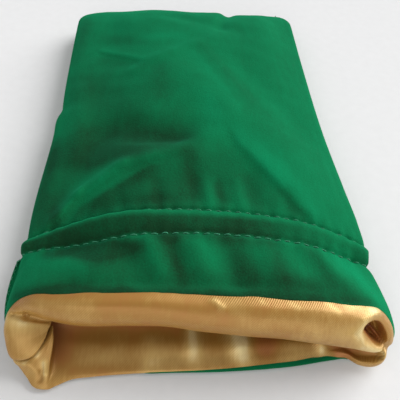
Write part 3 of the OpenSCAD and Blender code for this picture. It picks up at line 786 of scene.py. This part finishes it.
class Shader:
    """A material's node tree, with short names for what the materials here use."""

    def __init__(self, name):
        self.material = bpy.data.materials.new(name)
        self.material.use_nodes = True
        self.nodes = self.material.node_tree.nodes
        self.links = self.material.node_tree.links
        self.surface = self.nodes["Principled BSDF"]
        self.place = self.nodes.new("ShaderNodeNewGeometry").outputs["Position"]

    def add(self, kind, attributes=None, **inputs):
        """A node with the given attributes. Its inputs are links from other nodes or plain values."""
        node = self.nodes.new(kind)
        for key, value in (attributes or {}).items():
            setattr(node, key, value)
        self.fill(node, inputs)
        return node

    def fill(self, node, inputs):
        """Links or sets a node's inputs by name, with _ for a space."""
        for key, value in inputs.items():
            self.feed(node.inputs[key.replace("_", " ")], value)

    def feed(self, socket, value):
        """Links a socket to another node's, or sets its value."""
        if isinstance(value, bpy.types.NodeSocket):
            self.links.new(value, socket)
        else:
            socket.default_value = value

    def attribute(self, name):
        """The number that paint() stored under this name."""
        return self.add("ShaderNodeAttribute", {"attribute_name": name}).outputs["Fac"]

    def texture(self, kind, stretch=(1, 1, 1), turn=(0, 0, 0), **inputs):
        """A texture over the place in space, stretched and turned."""
        mapping = self.add("ShaderNodeMapping", Vector=self.place, Scale=stretch, Rotation=turn)
        return self.add(kind, Vector=mapping.outputs[0], **inputs).outputs["Fac"]

    def noise(self, scale, detail=2.0, stretch=(1, 1, 1)):
        """Cloudy flecks."""
        return self.texture("ShaderNodeTexNoise", stretch, Scale=scale, Detail=detail)

    def wave(self, scale, turn, distortion):
        """Bands across a turned direction."""
        return self.texture("ShaderNodeTexWave", turn=turn, Scale=scale, Distortion=distortion, Detail=1.0)

    def math(self, operation, a, b):
        """The result of an operation on two numbers or links."""
        node = self.add("ShaderNodeMath", {"operation": operation})
        self.feed(node.inputs[0], a)
        self.feed(node.inputs[1], b)
        return node.outputs[0]

    def scaled(self, link, share, centre=0.0):
        """This share of a number's distance from a centre."""
        return self.math("MULTIPLY", self.math("SUBTRACT", link, centre), share)

    def total(self, first, *others):
        """The sum of numbers or links."""
        for link in others:
            first = self.math("ADD", first, link)
        return first

    def ramp(self, fac, stops):
        """A colour for a number, through stops (number, colour)."""
        node = self.add("ShaderNodeValToRGB", Fac=fac)
        elements = node.color_ramp.elements
        while len(elements) < len(stops):
            elements.new(0.5)
        for element, (position, colour) in zip(elements, stops):
            element.position = position
            element.color = (*colour, 1)
        return node.outputs["Color"]

    def bump(self, height, distance, strength, **inputs):
        """A surface's small relief. Normal is another relief under it."""
        node = self.add("ShaderNodeBump", Height=height, Distance=distance, Strength=strength, **inputs)
        return node.outputs["Normal"]

    def finish(self, **inputs):
        """Sets the surface's inputs and gives the material."""
        self.fill(self.surface, inputs)
        return self.material


def velvet_material():
    """Green pile, darker or lighter as its painted pile and painted shade say, with flecks of three sizes."""
    s = Shader("velvet")
    cloud = s.noise(70, 4, (1, 0.6, 1))
    brushed = s.noise(420, 3, (1, 0.4, 1))
    pile = s.noise(2100, 3)
    fleck = s.total(s.scaled(cloud, 0.35), s.scaled(brushed, 0.25), s.scaled(pile, 0.4))
    pile_and_shade = s.total(s.attribute("nap_and_shade"), s.scaled(fleck, 0.75, 0.5))
    stops = [(0.0, (0.008, 0.04, 0.015)), (0.5, (0.0048, 0.145, 0.053)), (1.0, (0.0045, 0.235, 0.094))]
    return s.finish(
        Base_Color=s.ramp(pile_and_shade, stops), Roughness=1.0, Specular_IOR_Level=0.02,
        Normal=s.bump(brushed, 0.0003, 0.25, Normal=s.bump(pile, 0.0002, 0.6)),
        Sheen_Weight=0.35, Sheen_Roughness=0.5, Sheen_Tint=(0.02, 0.5, 0.25, 1),
    )


# The satin's fine diagonal lines: their pitch in metres, and the direction across them.
TWILL_PITCH = 0.00062
TWILL_ACROSS = (1.0, -0.75, -0.65)


def satin_material():
    """Gold satin, paler or deeper as its painted highlights and painted shade say, with a fine twill and
    slubs.
    """
    s = Shader("satin")
    across = s.add("ShaderNodeVectorMath", {"operation": "DOT_PRODUCT"})
    s.feed(across.inputs[0], s.place)
    s.feed(across.inputs[1], TWILL_ACROSS)
    twill = s.math("SINE", s.math("MULTIPLY", across.outputs["Value"], 2 * math.pi / TWILL_PITCH), 0)
    slub = s.noise(1300, 2, (1, 0.25, 0.25))
    cloud = s.noise(110, 4)
    clouds, slubs = s.scaled(cloud, 0.35, 0.5), s.scaled(slub, 0.2, 0.5)
    tone = s.total(s.attribute("shine_and_shade"), clouds, slubs, s.scaled(twill, 0.045))
    # The deepest stops give the painted shade and the palest stops give the painted highlights.
    stops = [
        (0.0, (0.08, 0.03, 0.02)), (0.12, (0.36, 0.12, 0.03)), (0.28, (0.42, 0.168, 0.037)),
        (0.45, (0.4, 0.2, 0.036)), (0.75, (0.62, 0.4, 0.125)), (1.0, (0.82, 0.66, 0.32)),
    ]
    return s.finish(
        Base_Color=s.ramp(tone, stops), Metallic=0.25, Anisotropic=0.4,
        Roughness=s.total(s.scaled(slub, 0.1), 0.3), Specular_IOR_Level=0.5,
        Normal=s.bump(slub, 0.00004, 0.4, Normal=s.bump(twill, 0.00005, 0.5)),
        Sheen_Weight=0.08, Sheen_Roughness=0.3, Sheen_Tint=(1, 0.8, 0.4, 1),
    )


def thread_material(name, dark, light):
    """Plied thread with a little fuzz."""
    s = Shader(name)
    ply = s.wave(1400, (0.6, 0.4, 0.7), 0.6)
    colour = s.ramp(s.total(s.scaled(ply, 0.7), s.scaled(s.noise(3000), 0.3)), [(0.2, dark), (0.8, light)])
    return s.finish(
        Base_Color=colour, Roughness=0.75, Normal=s.bump(ply, 0.0001, 0.7), Specular_IOR_Level=0.15
    )


def cord_material():
    """Twisted gold cord with a little fuzz."""
    s = Shader("cord")
    twist = s.wave(420, (0.5, 0.5, 0.4), 0.4)
    stops = [(0.1, (0.3, 0.16, 0.05)), (0.5, (0.55, 0.34, 0.11)), (0.9, (0.75, 0.52, 0.2))]
    colour = s.ramp(s.total(s.scaled(twist, 0.75), s.scaled(s.noise(2500), 0.25)), stops)
    return s.finish(Base_Color=colour, Roughness=0.42, Normal=s.bump(twist, 0.00035, 0.8), Sheen_Weight=0.4)


def floor_material():
    """The white table, very slightly uneven."""
    s = Shader("floor")
    stops = [(0.3, (0.80, 0.80, 0.80)), (0.7, (0.82, 0.82, 0.82))]
    return s.finish(Base_Color=s.ramp(s.noise(300, 3), stops), Roughness=0.9)


# One material for each slot.
MATERIALS = {
    "velvet": velvet_material(),
    "satin": satin_material(),
    "green_thread": thread_material("green_thread", (0.025, 0.18, 0.09), (0.06, 0.3, 0.17)),
    "gold_thread": thread_material("gold_thread", (0.4, 0.25, 0.08), (0.7, 0.5, 0.2)),
    "cord": cord_material(),
}


# ---------- the cloth pieces and their painted values ---


def bend_at_mouth(piece):
    """Bakes a piece's placement into its points."""
    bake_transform(piece)


def paint(piece, name, values):
    """Stores a number at each point of a piece, for its material."""
    data = piece.data.attributes.new(name, "FLOAT", "POINT").data
    data.foreach_set("value", np.clip(values, 0, 1).ravel().astype(np.float32))


def nap_and_shade(points, patches):
    """How dark the velvet is painted at each point: 0.5 is plain, less is darker. The patches give patchy
    brushed pile with painted shade and painted highlights, and the casing's lower side gets painted shade.
    """
    x, y = points[..., 0], points[..., 1]
    x, y = x + 0.9 * soft_noise(x, y, 9, 31), y + 0.9 * soft_noise(x, y, 9, 32)
    edge_rows = np.full((len(points) - len(ROWS), 1), MOUTH_ROW)
    t = (UPPER_Y - np.concatenate([ROWS, edge_rows])) / CASING_W
    # Painted shade on the casing's lower side, fading out towards the right.
    shade = window(t, 0.25, 0.3, 1, 0.1) * (1 - 0.7 * smooth((x - 12) / 22))
    return 0.5 - fold_height(x, y, patches) - CASING_SHADE * shade


def satin_shine_and_shade(points):
    """Painted highlights and painted shade on the satin at each point: 0.5 is plain. It is darker further in
    and inside the open end, and paler on the crease beside it.
    """
    r, along, _ = hole_radius(points)
    hole = smooth((1.15 - r) / 0.5)
    ridge = ridge_share(points)
    # Painted shade deeper inside the pouch.
    deep = smooth((points[..., 1] + 66) / 6)
    tone = np.maximum(0.5 + lines_sum(points, SHINE_AND_SHADE) - 0.25 * deep, 0.24)
    # Painted highlight on the crease beside the open end, and painted shade inside the open end.
    return tone + 0.38 * ridge * (1 - hole) - (0.42 - 0.06 * np.clip(along, -3, 3)) * hole


def finish_piece(piece, slot, nodes):
    """Gives a piece the material for its slot, and hides the CAD nodes that it stands for."""
    piece.data.materials.append(MATERIALS[slot])
    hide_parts(*nodes)
    return piece


def velvet_panel(name, points, hem, patches, nodes):
    """One velvet panel with its turned edge, its painted pile and its painted shade."""
    hemmed = turned_edge(points, hem)
    piece = finish_piece(grid_mesh(name, hemmed), "velvet", nodes)
    paint(piece, "nap_and_shade", nap_and_shade(hemmed, patches))
    return piece


front_nodes = ["front_velvet", "front_header_velvet"]
front_panel = velvet_panel("velvet_front", front_points, FRONT_HEM, NAP_AND_SHADE, front_nodes)
back_panel = velvet_panel("velvet_back", back_points, BACK_HEM, [], ["back_velvet"])
lining = grid_mesh("satin_lining", lining_points, closed=True)
finish_piece(lining, "satin", ["front_lining", "front_header_lining", "back_lining"])
paint(lining, "shine_and_shade", satin_shine_and_shade(lining_points))
for piece in (front_panel, back_panel, lining):
    bend_at_mouth(piece)


# ---------- stitches ----------


def tube(line, radius, sides=8):
    """Rings of points round a line. radius is one number or one for each of the line's points."""
    ahead = unit(np.gradient(line, axis=0))
    side = unit(np.cross(ahead, (0, 0, 1)))
    up = np.cross(side, ahead)
    turn = np.linspace(0, 2 * math.pi, sides, endpoint=False)
    radius = np.broadcast_to(radius, len(line))[:, None, None]
    ring = side[:, None] * np.cos(turn)[None, :, None] + up[:, None] * np.sin(turn)[None, :, None]
    return line[:, None] + ring * radius


def joined_grids(name, grids):
    """One mesh from several tubes, with their ends closed."""
    faces, count = [], 0
    for grid in grids:
        index = point_numbers(grid, True, count)
        faces += quads(index) + [index[0, :-1].tolist(), index[-1, -2::-1].tolist()]
        count += grid.shape[0] * grid.shape[1]
    return new_piece(name, np.concatenate([grid.reshape(-1, 3) for grid in grids]), faces)


def capsule(t, radius):
    """Radii that round off both ends of a short thread, where t runs from -1 to 1."""
    return radius * np.sqrt(np.clip(1 - t**4, 0.12, 1))


BOW, DIVE = 0.42, 0.22  # how far a stitch bows out in its middle, and how deep its ends go in


def stitch_grids(path, lift, length=STITCH_LENGTH, pitch=STITCH_PITCH, radius=THREAD_R):
    """Separate bowed stitches along a path. lift is the outward direction at each of its points."""
    far = walked(path)
    t = np.linspace(0, 1, 7)
    grids = []
    for start in np.arange(pitch * 0.4, far[-1] - pitch, pitch):
        at = start + t * length
        line = along_line(at, far, path)
        line = line + along_line(at, far, lift) * (BOW * np.sin(math.pi * t) - DIVE)[:, None]
        grids.append(tube(line, capsule(2 * t - 1, radius)))
    return grids


def row_path(points, row):
    """The line over a panel along a row, clear of the seams, and its outward direction there."""
    keep = slice(SEAM_COLUMNS, -SEAM_COLUMNS)
    return points[row_index(row)][keep], grid_normals(points)[row_index(row)][keep]


def column_path(points, column, first, last):
    """The line along a side seam between two rows, and its outward direction."""
    keep = (ROWS[:, 0] <= first) & (ROWS[:, 0] >= last)
    line = points[keep, column]
    out = np.zeros_like(line) + (np.sign(line[:, :1].mean()), 0, 0)
    return line - out * 0.35, out


def tube_piece(name, grids, slot, node, body):
    """One piece from several tubes. With a body it is attached to that body; without one its placement is
    baked into its points.
    """
    piece = finish_piece(joined_grids(name, grids), slot, [node])
    if body:
        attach(piece, body)
    else:
        bend_at_mouth(piece)


def stitches(name, line, lift, slot, node, body=None, **sizes):
    """Stitches along a line. lift is one outward direction or one for each of the line's points."""
    grids = stitch_grids(line, np.zeros_like(line) + lift, **sizes)
    tube_piece(name, grids, slot, node, body)


for side, points in (("front", front_points), ("back", back_points)):
    for which, row in (("upper", UPPER_Y), ("lower", LOWER_Y)):
        node = f"{side}_casing_{which}_stitching"
        stitches(f"stitches_{side}_{which}", *row_path(points, row), "green_thread", node)

# Seams are sewn with shorter stitches and a thinner thread.
SEAM = dict(length=1.1, pitch=2.0, radius=0.15)
for side, column in (("right", 0), ("left", -1)):
    line, lift = column_path(front_points, column, Y_BOTTOM, UPPER_Y + 1)
    stitches(f"seam_{side}", line, lift, "green_thread", f"{side}_side_seam", "bag", **SEAM)
    line, lift = column_path(front_points, column, LOWER_Y - 1, MOUTH_ROW + 3)
    stitches(f"seam_{side}_header", line, lift, "green_thread", f"{side}_header_seam", **SEAM)
stitches("seam_bottom", front_points[0], (0, 1, 0), "green_thread", "bottom_seam", "bag", **SEAM)

# The mouth's seams lie this far in from the velvet's edge, and this deep under it.
for side, points, top, inset, depth in (
    ("front", front_points, 1, 0.9, 0.9), ("back", back_points, -1, 1.8, 0.5)
):
    edge = points[-1][MOUTH_COLUMNS:-MOUTH_COLUMNS] + (0, inset, -depth * top)
    stitches(f"seam_mouth_{side}", edge, (0, 0, top), "gold_thread", f"{side}_mouth_seam", **SEAM)

# The lining's own seams start at its closed end and stop short of the casing.
half = len(lining_angles) // 2
for side, column, inward in (("right", 0, -1), ("left", half, 1)):
    line = deep_points[:, column]
    line = line[(line[:, 1] < LINING_SEAM_START) & (line[:, 1] > LINING_SEAM_END)]
    stitches(f"lining_seam_{side}", line, (inward, 0, 0), "gold_thread", f"lining_{side}_seam", "bag", **SEAM)
line = deep_points[-1][:half]
stitches("lining_seam_bottom", line, (0, -1, 0), "gold_thread", "lining_bottom_seam", "bag", **SEAM)


# ---------- bartacks, drawstrings and their knots ----------


def bartack(points, column, row, sign):
    """Close, short threads across a side seam, where a slit ends. sign is the side it is on."""
    at = row_index(row)
    centre = points[at, column] - (sign * 0.25, 0, 0)
    along = unit(points[at + 3, column] - points[at - 3, column])
    t = np.linspace(-1, 1, 9)[:, None]
    over = (0, 0, TACK_REACH) * t - (sign * TACK_BOW, 0, 0) * t**2
    places = np.linspace(-TACK_LENGTH / 2, TACK_LENGTH / 2, 6)
    return [tube(centre + along * place + over, capsule(t[:, 0], TACK_THREAD_R)) for place in places]


for side, column, sign in (("right", 0, 1), ("left", -1, -1)):
    grids = [
        grid
        for row in (UPPER_Y + TACK_GAP, LOWER_Y - TACK_GAP)
        for grid in bartack(front_points, column, row, sign)
    ]
    tube_piece(f"bartacks_{side}", grids, "green_thread", f"{side}_exit_bartacks", "bag")


def twisted(line, radius, lay, plies=3):
    """A twisted cord along a line: its plies wind round it once in every lay."""
    far = walked(line)
    at = np.linspace(0, far[-1], int(far[-1] / lay * TWIST_STEPS))
    line = along_line(at, far, line)
    ahead = unit(np.gradient(line, axis=0))
    side = np.zeros_like(line)
    side[0] = np.cross(ahead[0], (0.3, 0.2, 1))
    for i in range(1, len(at)):
        side[i] = side[i - 1] - ahead[i] * (side[i - 1] @ ahead[i])
    side = unit(side)
    up = np.cross(ahead, side)
    grids = []
    for ply in range(plies):
        turn = 2 * math.pi * (at / lay + ply / plies)
        offset = side * np.cos(turn)[:, None] + up * np.sin(turn)[:, None]
        ends = np.sqrt(np.clip(np.minimum(at, far[-1] - at) / (radius * 0.5), 0.15, 1))
        grids.append(tube(line + offset * radius * 0.52, radius * 0.5 * ends))
    return grids


def inside_casing(points, row, depth):
    """The part of a casing between the two side strands, this deep under the velvet."""
    at = row_index(row)
    line = points[at] - grid_normals(points)[at] * depth
    return line[np.abs(line[:, 0]) < CORD_ROOM]


def drawstring(side, offset, turns_at):
    """The run of one cord inside the casing: over the front and the back, and round the side at turns_at.

    offset is how far it lies from the casing's middle, away from the mouth.
    """
    row = (UPPER_Y + LOWER_Y) / 2 + offset
    front = inside_casing(front_points, row, FRONT_CORD_DEPTH)
    back = inside_casing(back_points, row, BACK_CORD_DEPTH)
    # Front columns run from right to left, and back columns from left to right.
    first, second = (front, back) if turns_at < 0 else (back, front)
    outermost = (turns_at, (first[-1][1] + second[0][1]) / 2, SEAM_Z)
    turn = curve(np.linspace(0.1, 0.9, 9), [(0, first[-1]), (0.5, outermost), (1, second[0])])
    grids = twisted(np.concatenate([first, turn, second]), CORD_R, CORD_LAY)
    tube_piece(f"cord_{side}", grids, "cord", f"{side}_drawstring", "bag")


drawstring("left", 1.2, 41.5)
drawstring("right", -1.4, -41.5)


def knot_line(centre, sign):
    """An overhand knot's line round its centre. sign is the side it is on."""
    t = np.linspace(0, 2 * math.pi, 90)
    ring = np.cos(3 * t) * 0.25 + 0.75
    line = np.stack([sign * 0.85 * ring * np.cos(2 * t), ring * np.sin(2 * t), 0.55 * np.sin(3 * t)], axis=1)
    return centre + KNOT_SIZE * line


def pull(side, sign, knot_x, knot_y):
    """A drawstring's doubled end: two strands out of the casing and the knot that joins them."""
    grids = []
    for lift in (1, -1):
        start = np.array([sign * STRAND_START, knot_y + 0.3 * lift, SEAM_Z + 0.95 * lift])
        end = (sign * (knot_x - 0.6), knot_y, SEAM_Z + 0.7 * lift)
        line = curve(np.linspace(0, 1, 40), [(0, start), (0.4, start + (sign * 5, 0.2, 0.1)), (1, end)])
        grids += twisted(line, CORD_R, CORD_LAY)
    grids += twisted(knot_line((sign * knot_x, knot_y, SEAM_Z), sign), KNOT_CORD_R, KNOT_LAY)
    tube_piece(f"pull_{side}", grids, "cord", f"{side}_drawstring_pull", f"{side}_pull")


pull("left", -1, 44.6, -44.6)
pull("right", 1, 46.4, -46.8)


# ---------- camera, light and floor ----------


# The photograph's camera, fitted to the outline: its place, its angles down, aside and rolled, and its lens.
CAMERA_AT = Vector((-2.7, -110.4, 119.1))
CAMERA_TURN = (52.93, 3.74, 3.61)
CAMERA_LENS = 40.5


def camera():
    """The photograph's view: close above the mouth, looking down over the pouch."""
    pitch, yaw, roll = (math.radians(a) for a in CAMERA_TURN)
    ahead = Vector((math.sin(yaw) * math.cos(pitch), math.cos(yaw) * math.cos(pitch), -math.sin(pitch)))
    right = Vector((math.cos(yaw), -math.sin(yaw), 0))
    up = right.cross(ahead)
    right, up = right * math.cos(roll) + up * math.sin(roll), up * math.cos(roll) - right * math.sin(roll)
    data = bpy.data.cameras.new("camera")
    data.lens = CAMERA_LENS
    data.sensor_width = 36
    data.clip_start = 0.005
    view = linked(bpy.data.objects.new("camera", data))
    turn = Matrix((right, up, -ahead)).transposed().to_4x4()
    view.matrix_world = Matrix.Translation(CAMERA_AT * MM) @ turn
    bpy.context.scene.camera = view


def light(kind, name, power, colour, towards, axis):
    """A lamp whose axis points along towards."""
    data = bpy.data.lights.new(name, kind)
    data.energy = power
    data.color = colour
    lamp = linked(bpy.data.objects.new(name, data))
    lamp.rotation_euler = Vector(towards).to_track_quat(axis, "Y").to_euler()
    return lamp


def area_light(name, place, target, size, power, colour):
    """A square lamp at a place, aimed at a target, both in metres."""
    lamp = light("AREA", name, power, colour, Vector(target) - Vector(place), "-Z")
    lamp.location = place
    lamp.data.size = size


def sun(name, towards, spread, power):
    """A distant soft light. towards points at it, and spread is its width in degrees."""
    light("SUN", name, power, (1, 1, 1), towards, "Z").data.angle = math.radians(spread)


WORLD, KEY, FILL = 0.44, 3.5, 1.8
TABLE_HALF, TABLE_DROP = 3.0, 0.0004  # in metres


def stage():
    """The table, the world's light, a large soft key light and a small fill."""
    data = bpy.data.meshes.new("table")
    r = TABLE_HALF
    data.from_pydata([(-r, -r, 0), (r, -r, 0), (r, r, 0), (-r, r, 0)], [], [(0, 1, 2, 3)])
    data.materials.append(floor_material())
    table = linked(bpy.data.objects.new("table", data))
    table.location.z = -TABLE_DROP
    world = bpy.data.worlds.new("studio")
    world.use_nodes = True
    sky = world.node_tree.nodes["Background"]
    sky.inputs["Color"].default_value = (0.97, 0.98, 1, 1)
    sky.inputs["Strength"].default_value = WORLD
    bpy.context.scene.world = world
    bpy.context.scene.view_settings.view_transform = "Standard"
    sun("window", (0.75, 0.5, 0.48), 50, KEY)
    area_light("fill", (-0.1, -0.7, 0.35), (0, -0.05, 0), 0.5, FILL, (1, 0.97, 0.92))


camera()
stage()
